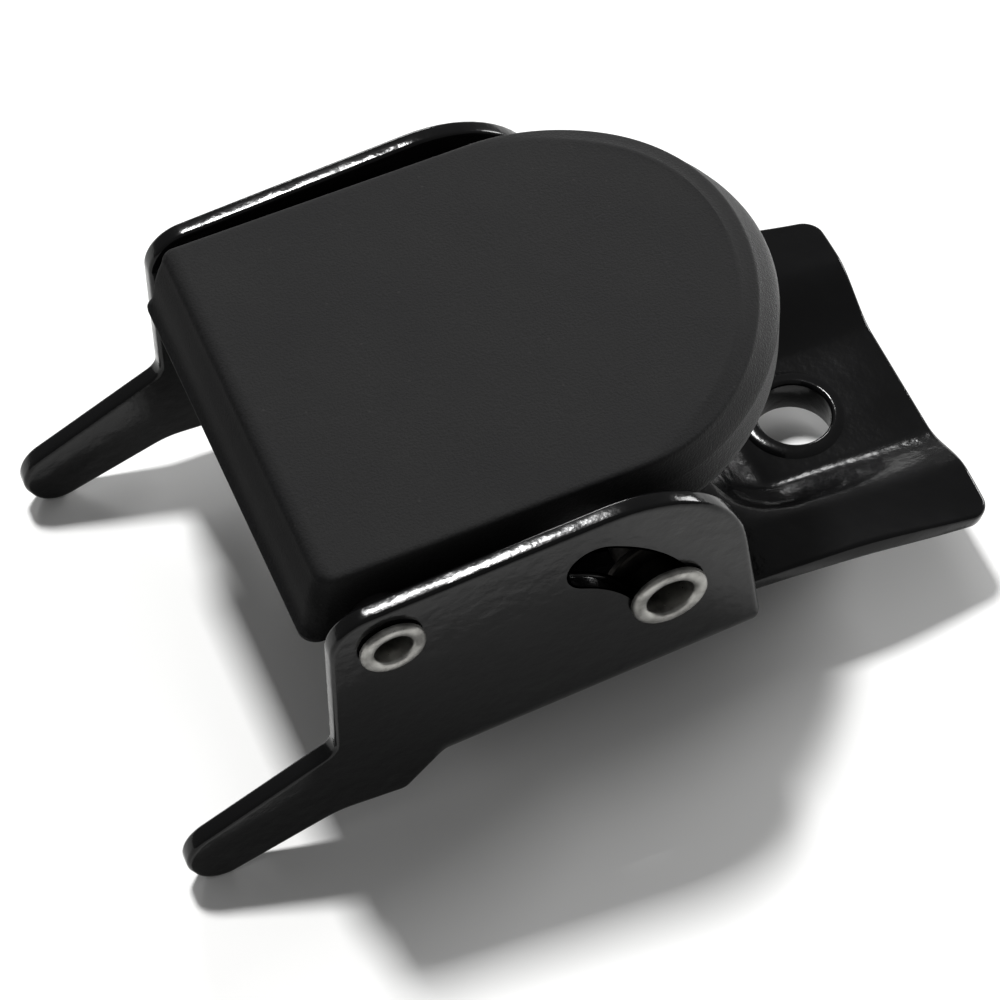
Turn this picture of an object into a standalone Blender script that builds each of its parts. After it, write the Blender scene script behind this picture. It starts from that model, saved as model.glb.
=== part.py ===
"""Horned steel bracket with a sprung rubber pad.

A pressed steel channel carries two cheeks that end in horns and a dished tail with one bolt bush.
A rubber covered pad carrier swings on a hollow hinge rivet, and a hollow guide bar in the carrier
runs along a curved slot in each cheek.  Lengths are in millimetres here and turned to metres once.
X runs towards the tail, Y across, Z up.  Shapes are drawn round the hinge rivet's axis.
"""
import math

import bmesh
import bpy
from mathutils import Vector

MM = 0.001
GAP = 0.3                      # clearance kept between touching pieces

# pressed channel
SHEET = 2.2                    # steel thickness
HALF_WIDTH = 29.4              # hinge centre to the outer face of a cheek
BEND_RADIUS = 4.5              # outer radius where a cheek meets the floor
EDGE_ROUND = 0.6               # rounding of the cheeks' cut edges
FLOOR_SLOPE = 0.117            # rise of the floor towards the tail
CHEEK_END = 44.5               # where the cheeks and the floor's bends end
BEND_START_Z = -19.1           # height of the bend's upper edge at CHEEK_END
FLOOR_FRONT = 5.5              # front edge of the floor
# corners of a cheek with its horn: x, z and corner radius
CHEEK_CORNERS = (
    (-6.9, -17.7, 2.0), (-6.9, 5.3, 4.5), (40.0, 10.4, 17.5), (CHEEK_END, BEND_START_Z, 1.2),
    (4.9, -24.4, 2.5), (0.4, -30.4, 1.5), (-7.0, -30.2, 8.0), (-22.7, -36.1, 4.2), (-26.6, -28.4, 4.2),
)

# tail
TAIL_END = 77.3
TAIL_HALF = 24.2
TAIL_CORNER = 2.4
SEAT_TOP = -28.3               # upper face of the flat bolt seat
DISH_HALF = 9.5                # half width of the seat
RIDGE_HALF = 16.0              # where the flanks are highest
# heights of the upper face along the middle, the flanks and the side edges: x and z
DISH_TOP = ((CHEEK_END, -21.3), (56.5, SEAT_TOP), (70.0, SEAT_TOP), (TAIL_END, -27.5))
RIDGE_TOP = ((CHEEK_END, -21.3), (TAIL_END, -24.3))
EDGE_TOP = ((CHEEK_END, -21.3), (58.0, -21.4), (TAIL_END + 4.0, -25.2))

# bolt bush
BOLT_X = 63.2
BOLT_RADIUS = 4.5
BUSH_RADIUS = 5.5
BUSH_LIP_RADIUS = 6.6
BUSH_LIP = 0.4
BUSH_COLLAR_RADIUS = 8.2
BUSH_BOTTOM = -33.5
BUSH_ROUND = 0.6               # rounding of the bore's upper rim

# hinge rivet and the parts that turn on it
HINGE_RADIUS = 2.7
HINGE_BORE = 2.0
HINGE_HEAD_RADIUS = 3.8
HEAD_HEIGHT = 0.8
RUNNING = 0.08                 # radial clearance of turning parts
LUG_OUTER = 20.0               # hinge centre to the outer face of a lug
LUG_THICK = 1.8
BUSHING_RADIUS = 3.8
BUSHING_FLANGE_RADIUS = 4.5
BUSHING_FLANGE = 0.8
SPACER_RADIUS = 3.3

# guide bar and its slots
SLOT_CENTRE = (16.1, -15.0)
SLOT_RADIUS = 17.66
SLOT_START = 20.9              # degrees round SLOT_CENTRE, at rest
SLOT_TRAVEL = 42.9
PAD_TRAVEL = 16.5              # degrees that the pad swings over the same travel
BAR_RADIUS = 3.6
BAR_BORE = 2.6
BAR_HEAD_RADIUS = 4.55
SLOT_CLEAR = 0.3
WASHER_RADIUS = 6.2
WASHER_THICK = 1.0
SLEEVE_RADIUS = 5.0

# pad and carrier
PAD_TILT = 2.6                 # degrees that the pad's nose is raised at rest
PAD_LEFT = -5.6
PAD_HALF = 24.6
PAD_NOSE_X = 31.7
PAD_NOSE_LENGTH = 23.3
NOSE_BIAS = 0.12               # the nose is slightly fuller on its +Y side
PAD_TOP = 8.1
PAD_WAIST = 3.4                # height where the nose's wall stands furthest out
PAD_BOTTOM = -1.4
PAD_EDGE = 1.2
DRAFT_LEFT = 2.8
PAD_CORNER = 2.2
DRAFT_SIDE = 0.8
DRAFT_NOSE = 2.9
CAVITY_TOP = 5.9
CAVITY_WALL = 2.6
CAVITY_LEFT_TOP = -3.7
CAVITY_LEFT_BOTTOM = -5.8
PLATE_THICK = 1.5

# spring
WIRE_RADIUS = 0.45
COIL_RADIUS = 3.35
COIL_HALF = 9.0
COIL_TURNS = 6
COIL_START = 200.0             # degrees round the rivet where the foot leg joins the coil
COIL_END = 78.0                # where the leg over the guide bar leaves it


def clear_scene():
    for item in list(bpy.data.objects):
        bpy.data.objects.remove(item, do_unlink=True)


def arc(centre, radius, start, end, steps):
    """Points on an arc, angles in degrees."""
    points = []
    for i in range(steps + 1):
        angle = math.radians(start + (end - start) * i / steps)
        points.append((centre[0] + radius * math.cos(angle), centre[1] + radius * math.sin(angle)))
    return points


def rounded(corners, step=9.0):
    """Closed outline through corners (a, b, radius), with each corner turned into an arc."""
    outline = []
    count = len(corners)
    for i, (a, b, radius) in enumerate(corners):
        here = Vector((a, b))
        back = (Vector(corners[i - 1][:2]) - here).normalized()
        ahead = (Vector(corners[(i + 1) % count][:2]) - here).normalized()
        half = back.angle(ahead) / 2
        centre = here + (back + ahead).normalized() * radius / math.sin(half)
        first = here + back * radius / math.tan(half) - centre
        last = here + ahead * radius / math.tan(half) - centre
        turn = first.angle_signed(last)
        steps = max(2, round(abs(math.degrees(turn)) / step))
        start = math.atan2(first.y, first.x)
        for k in range(steps + 1):
            angle = start - turn * k / steps
            outline.append((centre.x + radius * math.cos(angle), centre.y + radius * math.sin(angle)))
    return outline


def inset(outline, distance):
    """The outline moved inwards by distance, for an outline that runs clockwise or anticlockwise."""
    count = len(outline)
    area = sum(outline[i - 1][0] * outline[i][1] - outline[i][0] * outline[i - 1][1] for i in range(count))
    side = 1.0 if area > 0 else -1.0
    moved = []
    for i, (a, b) in enumerate(outline):
        before = Vector(outline[i]) - Vector(outline[i - 1])
        after = Vector(outline[(i + 1) % count]) - Vector(outline[i])
        along = (before.normalized() + after.normalized()).normalized()
        moved.append((a - side * along.y * distance, b + side * along.x * distance))
    return moved


def slot_outline(path, radius, steps=10):
    """Outline of a round cutter of this radius that has moved along the path."""
    left, right = [], []
    for i, (a, b) in enumerate(path):
        along = (Vector(path[min(i + 1, len(path) - 1)]) - Vector(path[max(i - 1, 0)])).normalized()
        left.append((a - along.y * radius, b + along.x * radius))
        right.append((a + along.y * radius, b - along.x * radius))
    tail_angle = math.degrees(math.atan2(right[-1][1] - path[-1][1], right[-1][0] - path[-1][0]))
    head_angle = math.degrees(math.atan2(left[0][1] - path[0][1], left[0][0] - path[0][0]))
    end_cap = arc(path[-1], radius, tail_angle, tail_angle + 180, steps)[1:-1]
    start_cap = arc(path[0], radius, head_angle, head_angle + 180, steps)[1:-1]
    return right + end_cap + left[::-1] + start_cap


def finish_mesh(name, bm, sharp=35.0):
    bmesh.ops.recalc_face_normals(bm, faces=bm.faces)
    mesh = bpy.data.meshes.new(name)
    bm.to_mesh(mesh)
    bm.free()
    mesh.shade_smooth()
    mesh.set_sharp_from_angle(angle=math.radians(sharp))
    return mesh


def stacked(name, rings, close=True):
    """Closed solid through rings of equal point count, each a list of (x, y, z) in millimetres."""
    bm = bmesh.new()
    loops = [[bm.verts.new(Vector(p) * MM) for p in ring] for ring in rings]
    count = len(loops[0])
    for low, high in zip(loops, loops[1:]):
        for i in range(count):
            bm.faces.new((low[i - 1], low[i], high[i], high[i - 1]))
    if close:
        bm.faces.new(loops[0])
        bm.faces.new(loops[-1])
    return finish_mesh(name, bm)


def plate(name, outline, y_low, y_high, edge=0.0):
    """Flat plate of an x, z outline between two y values, with rounded edges where edge is given."""
    if edge:
        third = edge * (1 - math.sqrt(0.5))
        levels = [(y_low, edge), (y_low + third, third), (y_low + edge, 0.0),
                  (y_high - edge, 0.0), (y_high - third, third), (y_high, edge)]
    else:
        levels = [(y_low, 0.0), (y_high, 0.0)]
    rings = []
    for y, depth in levels:
        shape = inset(outline, depth) if depth else outline
        rings.append([(x, y, z) for x, z in shape])
    return stacked(name, rings)


def turned(name, profile, segments=32, axis="Y"):
    """Ring turned round an axis from a closed profile of (distance along the axis, radius)."""
    bm = bmesh.new()
    loops = []
    for k in range(segments):
        angle = 2 * math.pi * k / segments
        c, s = math.cos(angle), math.sin(angle)
        if axis == "Y":
            loops.append([bm.verts.new(Vector((r * c, a, r * s)) * MM) for a, r in profile])
        else:
            loops.append([bm.verts.new(Vector((r * c, r * s, a)) * MM) for a, r in profile])
    for k in range(segments):
        for i in range(len(profile)):
            bm.faces.new((loops[k - 1][i - 1], loops[k - 1][i], loops[k][i], loops[k][i - 1]))
    return finish_mesh(name, bm)


def material(name, colour, metallic, roughness):
    made = bpy.data.materials.new(name)
    made.use_nodes = True
    shader = made.node_tree.nodes["Principled BSDF"]
    shader.inputs["Base Color"].default_value = (*colour, 1.0)
    shader.inputs["Metallic"].default_value = metallic
    shader.inputs["Roughness"].default_value = roughness
    return made


def place(name, mesh, finish, parent=None, at=(0.0, 0.0, 0.0)):
    item = bpy.data.objects.new(name, mesh)
    bpy.context.scene.collection.objects.link(item)
    mesh.materials.clear()
    mesh.materials.append(finish)
    item.parent = parent
    item.location = Vector(at) * MM
    return item


def empty(name, at, parent=None):
    item = bpy.data.objects.new(name, None)
    bpy.context.scene.collection.objects.link(item)
    item.parent = parent
    item.location = Vector(at) * MM
    return item


def combine(target, tool, operation):
    """Boolean on the target by a hidden tool object."""
    step = target.modifiers.new(tool.name, "BOOLEAN")
    step.operation = operation
    step.solver = "EXACT"
    step.object = tool
    tool.hide_render = True
    tool.display_type = "WIRE"


def eased(stops, x):
    """Smooth value through (x, value) stops."""
    if x <= stops[0][0]:
        return stops[0][1]
    for (x0, v0), (x1, v1) in zip(stops, stops[1:]):
        if x <= x1:
            t = (x - x0) / (x1 - x0)
            return v0 + (v1 - v0) * t * t * (3 - 2 * t)
    return stops[-1][1]


def floor_top(x):
    """Upper face of the sloping floor between the cheeks."""
    return BEND_START_Z - BEND_RADIUS + SHEET + FLOOR_SLOPE * (x - CHEEK_END)


def tail_top(x, y):
    """Upper face of the tail: a flat dish, raised flanks and edges that droop towards the end."""
    dish, ridge, edge = (eased(stops, x) for stops in (DISH_TOP, RIDGE_TOP, EDGE_TOP))
    away = abs(y)
    if away <= RIDGE_HALF:
        return eased(((DISH_HALF, dish), (RIDGE_HALF, ridge)), away)
    t = (away - RIDGE_HALF) / (TAIL_HALF - RIDGE_HALF)
    return ridge + (edge - ridge) * t * t


def tail_reach(y):
    """How far back the tail goes at y, with rounded corners."""
    over = abs(y) - (TAIL_HALF - TAIL_CORNER)
    if over <= 0:
        return TAIL_END
    return TAIL_END - TAIL_CORNER + math.sqrt(max(TAIL_CORNER ** 2 - over ** 2, 0.0))


def floor_section(x):
    """Upper and lower points of the channel's section at x, from one cheek to the other."""
    bend_y = HALF_WIDTH - BEND_RADIUS
    bend_z = BEND_START_Z + FLOOR_SLOPE * (x - CHEEK_END)
    inner = BEND_RADIUS - SHEET
    right = [((x, bend_y + inner, bend_z + 1.0), (x, HALF_WIDTH, bend_z + 1.0))]
    for k in range(6):
        angle = math.radians(18 * k)
        c, s = math.cos(angle), math.sin(angle)
        right.append(((x, bend_y + inner * c, bend_z - inner * s),
                      (x, bend_y + BEND_RADIUS * c, bend_z - BEND_RADIUS * s)))
    left = [((x, -a[1], a[2]), (x, -b[1], b[2])) for a, b in right]
    return left, right[::-1]


def channel_floor():
    """Floor, bends and tail as one sheet with a stepped outline."""
    corner = TAIL_HALF - TAIL_CORNER
    half = [corner + TAIL_CORNER * share for share in (1.0, 0.8, 0.5, 0.0)]
    half += [RIDGE_HALF + (corner - RIDGE_HALF) * k / 3 for k in (2, 1)]
    half += [DISH_HALF + (RIDGE_HALF - DISH_HALF) * k / 6 for k in range(6, -1, -1)]
    half.append(DISH_HALF / 2)
    ys = [-y for y in half] + [0.0] + half[::-1]
    rows = []
    for x in (FLOOR_FRONT, 25.0, CHEEK_END):
        left, right = floor_section(x)
        middle = [((x, y, floor_top(x)), (x, y, floor_top(x) - SHEET)) for y in ys]
        rows.append(left + middle + right)
    edge_count = len(left)
    steps = 18
    for i in range(1, steps + 1):
        row = [None] * edge_count
        for y in ys:
            x = CHEEK_END + (tail_reach(y) - CHEEK_END) * i / steps
            top = Vector((x, y, tail_top(x, y)))
            across = (tail_top(x, y + 0.05) - tail_top(x, y - 0.05)) / 0.1
            along = (tail_top(x + 0.05, y) - tail_top(x - 0.05, y)) / 0.1
            down = Vector((along, across, -1.0)).normalized() * SHEET
            row.append((top, top + down))
        rows.append(row + [None] * edge_count)
    return sheet_solid("bracket_frame", rows)


def sheet_solid(name, rows):
    """Closed solid of a sheet given as rows of (upper, lower) points; None leaves a cell out."""
    bm = bmesh.new()
    grid = [[None if pair is None else tuple(bm.verts.new(Vector(p) * MM) for p in pair) for pair in row]
            for row in rows]
    cells = set()
    for i in range(len(grid) - 1):
        for j in range(len(grid[0]) - 1):
            corners = (grid[i][j], grid[i][j + 1], grid[i + 1][j + 1], grid[i + 1][j])
            if None not in corners:
                cells.add((i, j))
                for side in (0, 1):
                    bm.faces.new([corner[side] for corner in corners])
    sides = ((-1, 0, (0, 0), (0, 1)), (1, 0, (1, 1), (1, 0)), (0, -1, (1, 0), (0, 0)), (0, 1, (0, 1), (1, 1)))
    for i, j in cells:
        for di, dj, first, last in sides:
            if (i + di, j + dj) not in cells:
                a = grid[i + first[0]][j + first[1]]
                b = grid[i + last[0]][j + last[1]]
                bm.faces.new((a[0], b[0], b[1], a[1]))
    return finish_mesh(name, bm)


def bar_at(travel):
    """Centre of the guide bar after a share of its travel, 0 to 1."""
    angle = math.radians(SLOT_START + SLOT_TRAVEL * travel)
    return (SLOT_CENTRE[0] + SLOT_RADIUS * math.cos(angle), SLOT_CENTRE[1] + SLOT_RADIUS * math.sin(angle))


def bar_in_carrier(travel):
    """The same centre as the swinging carrier sees it."""
    x, z = bar_at(travel)
    angle = math.radians(-PAD_TILT - PAD_TRAVEL * travel)
    return (x * math.cos(angle) - z * math.sin(angle), x * math.sin(angle) + z * math.cos(angle))


def hollow_rivet(bore, radius, head_radius):
    """Profile of a tube with a rolled head outside each cheek."""
    face = HALF_WIDTH + GAP
    top = face + HEAD_HEIGHT
    lip = HEAD_HEIGHT * 0.45
    half = [(face, radius), (face, head_radius - 0.1), (top - lip, head_radius), (top, head_radius - 0.7),
            (top, bore + 0.6), (top - 1.0, bore)]
    mirrored = [(-a, r) for a, r in half[::-1]]
    return half + mirrored


def pad_outline(draft_left, draft_side, draft_nose, depth, left=None, corner=PAD_CORNER, nose_steps=32):
    """D shaped outline in x, y: square corners at the hinge end and a round nose."""
    edge = PAD_LEFT - draft_left + depth if left is None else left
    half = PAD_HALF + draft_side - depth
    length = PAD_NOSE_LENGTH + draft_nose - depth
    points = arc((edge + corner, -half + corner), corner, 180, 270, 4)
    for k in range(nose_steps + 1):
        angle = math.radians(-90 + 180 * k / nose_steps)
        bias = 1 + NOSE_BIAS * math.sin(angle)
        points.append((PAD_NOSE_X + length * bias * math.cos(angle), half * math.sin(angle)))
    points += arc((edge + corner, half - corner), corner, 90, 180, 4)
    return points


def at_height(outline, z):
    return [(x, y, z) for x, y in outline]


def coil_path():
    """Centre line of the closing spring: foot leg, turns round the hinge rivet, leg over the bar."""
    bar_x, bar_z = bar_at(0.0)
    over_bar = bar_z + SLEEVE_RADIUS + WIRE_RADIUS + 0.1
    foot_z = floor_top(FLOOR_FRONT) - SHEET - 0.6
    points = [(FLOOR_FRONT - 0.9, -COIL_HALF, foot_z)]
    steps = COIL_TURNS * 14
    sweep = 360 * COIL_TURNS + COIL_START - COIL_END
    for k in range(steps + 1):
        angle = math.radians(COIL_START - sweep * k / steps)
        y = -COIL_HALF + 2 * COIL_HALF * k / steps
        points.append((COIL_RADIUS * math.cos(angle), y, COIL_RADIUS * math.sin(angle)))
    points.append((bar_x + 5.0, COIL_HALF, over_bar - 0.4))
    return points


def wire(name, path, radius):
    curve = bpy.data.curves.new(name, "CURVE")
    curve.dimensions = "3D"
    curve.bevel_depth = radius * MM
    curve.bevel_resolution = 1
    curve.use_fill_caps = True
    spline = curve.splines.new("POLY")
    spline.points.add(len(path) - 1)
    for point, place_at in zip(spline.points, path):
        point.co = (*(Vector(place_at) * MM), 1.0)
    return curve


def make_frame(finish, root):
    frame = place("bracket_frame", channel_floor(), finish, root)
    outline = rounded(CHEEK_CORNERS)
    slot = slot_outline([bar_at(k / 10) for k in range(11)], BAR_RADIUS + SLOT_CLEAR)
    for side in (-1, 1):
        low, high = sorted((side * HALF_WIDTH, side * (HALF_WIDTH - SHEET)))
        cheek = place(f"cheek_blank_{side}", plate("cheek", outline, low, high, EDGE_ROUND), finish, root)
        combine(frame, cheek, "UNION")
    reach = HALF_WIDTH + 2.0
    cutters = [place("slot_cutter", plate("slot", slot, -reach, reach), finish, root)]
    hinge_hole = arc((0.0, 0.0), HINGE_RADIUS + GAP, 0, 352.5, 47)
    cutters.append(place("hinge_cutter", plate("hinge_hole", hinge_hole, -reach, reach), finish, root))
    bolt_hole = [(BOLT_X + x, y) for x, y in arc((0.0, 0.0), BUSH_RADIUS + GAP, 0, 352.5, 47)]
    rings = [at_height(bolt_hole, SEAT_TOP + 3.0), at_height(bolt_hole, SEAT_TOP - 6.0)]
    cutters.append(place("bolt_cutter", stacked("bolt_hole", rings), finish, root))
    for cutter in cutters:
        combine(frame, cutter, "DIFFERENCE")


def make_bush(finish, root):
    top = SEAT_TOP + GAP + BUSH_LIP
    under = SEAT_TOP - SHEET - GAP
    rim = arc((top - BUSH_ROUND, BOLT_RADIUS + BUSH_ROUND), BUSH_ROUND, 270, 360, 3)
    profile = rim + [(top, BUSH_LIP_RADIUS - 0.2), (top - 0.2, BUSH_LIP_RADIUS),
               (SEAT_TOP + GAP, BUSH_LIP_RADIUS), (SEAT_TOP + GAP, BUSH_RADIUS), (under, BUSH_RADIUS),
               (under, BUSH_COLLAR_RADIUS - 0.3), (under - 0.3, BUSH_COLLAR_RADIUS),
               (BUSH_BOTTOM + 0.5, BUSH_COLLAR_RADIUS), (BUSH_BOTTOM, BUSH_COLLAR_RADIUS - 0.5),
               (BUSH_BOTTOM, BOLT_RADIUS + 0.3), (BUSH_BOTTOM + 0.3, BOLT_RADIUS)]
    place("mount_bush", turned("mount_bush", profile, 48, "Z"), finish, root, (BOLT_X, 0.0, 0.0))


def make_hinge(rivet_finish, plastic, root):
    profile = hollow_rivet(HINGE_BORE, HINGE_RADIUS, HINGE_HEAD_RADIUS)
    place("hinge_rivet", turned("hinge_rivet", profile), rivet_finish, root)
    inner = LUG_OUTER + GAP + BUSHING_FLANGE + GAP
    outer = HALF_WIDTH - SHEET - GAP
    bore = HINGE_RADIUS + RUNNING
    for side, word in ((-1, "near"), (1, "far")):
        ends = sorted((side * inner, side * outer))
        ring = [(ends[0], bore), (ends[0], SPACER_RADIUS), (ends[1], SPACER_RADIUS), (ends[1], bore)]
        place(f"hinge_spacer_{word}", turned("hinge_spacer", ring, 24), plastic, root)


def make_carrier(finish, plastic, lever):
    plate_top = CAVITY_TOP - GAP
    outline = pad_outline(0, 0, 0, PAD_HALF - LUG_OUTER, CAVITY_LEFT_TOP + 0.5, 1.0, 24)
    rings = [at_height(outline, plate_top), at_height(outline, plate_top - PLATE_THICK)]
    carrier = place("pad_carrier", stacked("pad_carrier", rings), finish, lever)
    bar_x, bar_z = bar_in_carrier(0.0)
    joined = plate_top - PLATE_THICK / 2
    lug = rounded(((-4.8, -4.8, 4.7), (-4.8, 2.0, 1.5),
                   (-3.0, joined, 0.3), (38.8, joined, 0.3), (bar_x + 6.8, bar_z + 2.0, 5.0),
                   (bar_x + 4.5, bar_z - 6.8, 4.5), (bar_x - 9.0, bar_z - 5.0, 5.0), (12.0, -5.5, 6.0)))
    path = [bar_in_carrier(k / 10) for k in range(11)]
    tools = []
    for side in (-1, 1):
        low, high = sorted((side * LUG_OUTER, side * (LUG_OUTER - LUG_THICK)))
        tools.append((place(f"lug_blank_{side}", plate("lug", lug, low, high), finish, lever), "UNION"))
    reach = LUG_OUTER + 1.0
    slot = slot_outline(path, BAR_RADIUS + SLOT_CLEAR)
    tools.append((place("carrier_slot_cutter", plate("slot", slot, -reach, reach), finish, lever), "DIFFERENCE"))
    hole = arc((0.0, 0.0), BUSHING_RADIUS + GAP, 0, 350, 35)
    tools.append((place("bushing_cutter", plate("hole", hole, -reach, reach), finish, lever), "DIFFERENCE"))
    for tool, operation in tools:
        combine(carrier, tool, operation)
    bore = HINGE_RADIUS + RUNNING
    inner, flange = LUG_OUTER - LUG_THICK, LUG_OUTER + GAP
    outer = flange + BUSHING_FLANGE
    for side, word in ((-1, "near"), (1, "far")):
        ring = [(inner, bore), (inner, BUSHING_RADIUS), (flange, BUSHING_RADIUS), (flange, BUSHING_FLANGE_RADIUS),
                (outer, BUSHING_FLANGE_RADIUS), (outer, bore)]
        ring = [(side * a, r) for a, r in ring]
        place(f"hinge_bushing_{word}", turned("hinge_bushing", ring, 24), plastic, lever)


def make_pad(finish, lever):
    # height, share of the end's and sides' draft, share of the nose's draft, inset
    levels = ((PAD_BOTTOM, 1.0, 0.95, 0.0), (PAD_WAIST, 0.6, 1.0, 0.0), (PAD_TOP - PAD_EDGE, 0.12, 0.15, 0.0),
              (PAD_TOP - 0.35, 0.04, 0.05, 0.35), (PAD_TOP, 0.0, 0.0, PAD_EDGE))
    rings = []
    for z, share, nose_share, depth in levels:
        outline = pad_outline(DRAFT_LEFT * share, DRAFT_SIDE * share, DRAFT_NOSE * nose_share, depth)
        rings.append(at_height(outline, z))
    pad = place("rubber_pad", stacked("rubber_pad", rings), finish, lever)
    low_left = CAVITY_LEFT_BOTTOM - 0.1
    cavity = [at_height(pad_outline(0, 0, 0, CAVITY_WALL, low_left, 0.5), PAD_BOTTOM - 0.5),
              at_height(pad_outline(0, 0, 0, CAVITY_WALL, CAVITY_LEFT_TOP, 0.5), CAVITY_TOP)]
    combine(pad, place("cavity_cutter", stacked("cavity", cavity), finish, lever), "DIFFERENCE")
    reach = HALF_WIDTH
    notch = [(SPACER_RADIUS + GAP, -4.0)] + arc((0.0, 0.0), SPACER_RADIUS + GAP, 0, 180, 16)
    notch.append((-SPACER_RADIUS - GAP, -4.0))
    combine(pad, place("notch_cutter", plate("notch", notch, -reach, reach), finish, lever), "DIFFERENCE")


def make_bar(steel, rivet_finish, axis):
    centre = Vector(bar_at(0.0)) - Vector(SLOT_CENTRE)
    at = (centre.x, 0.0, centre.y)
    bar = turned("guide_bar", hollow_rivet(BAR_BORE, BAR_RADIUS, BAR_HEAD_RADIUS))
    place("guide_bar", bar, rivet_finish, axis, at)
    bore = BAR_RADIUS + RUNNING
    outer = HALF_WIDTH - SHEET - GAP
    for side, word in ((-1, "near"), (1, "far")):
        ends = sorted((side * (outer - WASHER_THICK), side * outer))
        ring = [(ends[0], bore), (ends[0], WASHER_RADIUS), (ends[1], WASHER_RADIUS), (ends[1], bore)]
        place(f"bar_washer_{word}", turned("bar_washer", ring, 24), steel, axis, at)
    half = LUG_OUTER - LUG_THICK - GAP
    ring = [(-half, bore), (-half, SLEEVE_RADIUS), (half, SLEEVE_RADIUS), (half, bore)]
    place("bar_sleeve", turned("bar_sleeve", ring, 24), steel, axis, at)


def build():
    clear_scene()
    enamel = material("black_enamel", (0.012, 0.012, 0.013), 0.0, 0.22)
    rubber = material("black_rubber", (0.03, 0.03, 0.032), 0.0, 0.75)
    zinc = material("zinc_plated_steel", (0.55, 0.55, 0.53), 1.0, 0.32)
    nylon = material("nylon", (0.03, 0.03, 0.032), 0.0, 0.45)
    spring_steel = material("spring_steel", (0.30, 0.29, 0.28), 1.0, 0.35)
    lowest = min(z for x, z in rounded(CHEEK_CORNERS))
    front = min(x for x, z in rounded(CHEEK_CORNERS))
    hinge = (-(front + TAIL_END) / 2, 0.0, -lowest)
    root = empty("hinge_point", hinge)
    lever = empty("pad_axis", (0.0, 0.0, 0.0), root)
    lever.rotation_euler.y = -math.radians(PAD_TILT)
    bar_axis = empty("bar_axis", (SLOT_CENTRE[0], 0.0, SLOT_CENTRE[1]), root)
    make_frame(enamel, root)
    make_bush(enamel, root)
    make_hinge(zinc, nylon, root)
    make_carrier(enamel, nylon, lever)
    make_pad(rubber, lever)
    make_bar(zinc, zinc, bar_axis)
    spring = wire("closing_spring", coil_path(), WIRE_RADIUS)
    place("closing_spring", spring, spring_steel, root)


build()
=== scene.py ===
import math
import bmesh
import bpy
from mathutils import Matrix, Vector


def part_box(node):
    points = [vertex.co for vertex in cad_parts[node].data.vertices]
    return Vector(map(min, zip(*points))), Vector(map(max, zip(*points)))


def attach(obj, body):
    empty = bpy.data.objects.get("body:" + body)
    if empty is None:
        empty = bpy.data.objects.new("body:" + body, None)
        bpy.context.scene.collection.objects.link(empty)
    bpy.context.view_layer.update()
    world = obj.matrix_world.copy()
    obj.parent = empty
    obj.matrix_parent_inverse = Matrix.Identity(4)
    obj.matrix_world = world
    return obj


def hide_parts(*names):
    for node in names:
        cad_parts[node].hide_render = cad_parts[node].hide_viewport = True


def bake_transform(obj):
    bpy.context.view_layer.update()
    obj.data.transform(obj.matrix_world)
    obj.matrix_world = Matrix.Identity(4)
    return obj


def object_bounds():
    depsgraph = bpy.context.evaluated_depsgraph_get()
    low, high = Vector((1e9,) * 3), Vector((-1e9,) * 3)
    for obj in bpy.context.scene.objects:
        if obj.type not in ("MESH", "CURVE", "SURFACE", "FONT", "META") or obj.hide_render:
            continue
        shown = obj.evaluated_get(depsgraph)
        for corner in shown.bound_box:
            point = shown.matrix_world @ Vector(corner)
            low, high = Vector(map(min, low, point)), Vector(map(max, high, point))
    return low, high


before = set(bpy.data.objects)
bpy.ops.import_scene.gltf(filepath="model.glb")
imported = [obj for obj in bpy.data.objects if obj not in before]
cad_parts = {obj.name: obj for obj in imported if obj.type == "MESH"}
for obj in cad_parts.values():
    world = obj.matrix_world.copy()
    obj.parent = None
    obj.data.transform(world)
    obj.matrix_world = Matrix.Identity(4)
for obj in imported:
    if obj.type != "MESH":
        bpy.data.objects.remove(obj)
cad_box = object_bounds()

# ---- Bracket frame -------------------------------------------------------------------------------
# One blank of 2.2 mm steel sheet, punched, then folded into a channel with two cheeks and a dished
# tail. Its cut edges are tumbled round and the whole frame is dipped in glossy black stoving enamel.
SHEET = 2.2
HALF_WIDTH = 29.4
BEND_RADIUS = 4.5
FLOOR_HALF = HALF_WIDTH - BEND_RADIUS
BEND_LENGTH = BEND_RADIUS * math.pi / 2
CHEEK_END = 44.5
FLOOR_FRONT = 5.5
HORN_ROOT = 4.5
BEND_Z = -19.1
FLOOR_SLOPE = 0.117
TAIL_END = 77.3
TAIL_HALF = 24.2
SEAT_TOP = -28.3
SEAT_HALF = 7.5
RIDGE_HALF = 17.5
DROOP_HALF = 14.5
FLOOR_END_TOP = BEND_Z - BEND_RADIUS + SHEET
SEAT_LINE = ((CHEEK_END, FLOOR_END_TOP), (56.5, SEAT_TOP), (TAIL_END, -27.8))
RIDGE_LINE = ((CHEEK_END, FLOOR_END_TOP), (TAIL_END, -24.3))
EDGE_LINE = ((CHEEK_END, FLOOR_END_TOP), (58.0, -21.4), (TAIL_END + 4.0, -25.2))
BOLT_X = 63.2
BUSH_HOLE = 5.8
HINGE_HOLE = 3.0
SLOT_CENTRE = (16.1, -15.0)
SLOT_RADIUS = 17.66
SLOT_HALF_WIDTH = 3.9
SLOT_ANGLES = (20.9, 63.8)
EDGE_ROUND = 0.5
HOLE_ROUND = 0.35

low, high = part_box("hinge_rivet")
hinge = (low + high) / 2


def at(point):
    """A point given in mm from the hinge rivet's middle, in the frame's metres."""
    return hinge + Vector(point) * 0.001


def arc(centre, radius, start, end, steps):
    """Points along an arc, from one angle in degrees to another."""
    points = []
    for i in range(steps + 1):
        angle = math.radians(start + (end - start) * i / steps)
        points.append((centre[0] + radius * math.cos(angle), centre[1] + radius * math.sin(angle)))
    return points


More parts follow.
